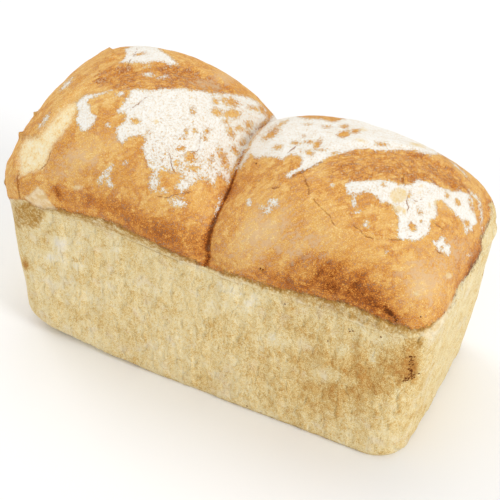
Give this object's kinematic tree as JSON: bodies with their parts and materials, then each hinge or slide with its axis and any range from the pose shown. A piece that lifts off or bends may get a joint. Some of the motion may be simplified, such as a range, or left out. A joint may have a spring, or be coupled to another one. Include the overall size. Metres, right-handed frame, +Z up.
{
  "type": "split tin loaf",
  "caption": "Straight-sided tin loaf of white bread with a domed, floured and slashed golden crust split by a deep cleft.",
  "frame": {"origin": "middle of the flat base, under the middle of the loaf's box", "axes": "+Z up, +X along the loaf towards its lower dome, -Y towards the front long side"},
  "size_m": [0.2318, 0.1098, 0.1481],
  "materials": {
    "crust": "matte baked bread crust, golden on the domes, pale beige on the tin-shaped sides, dusted with flour"
  },
  "bodies": {
    "root": {"loaf": "crust"}
  },
  "joints": []
}
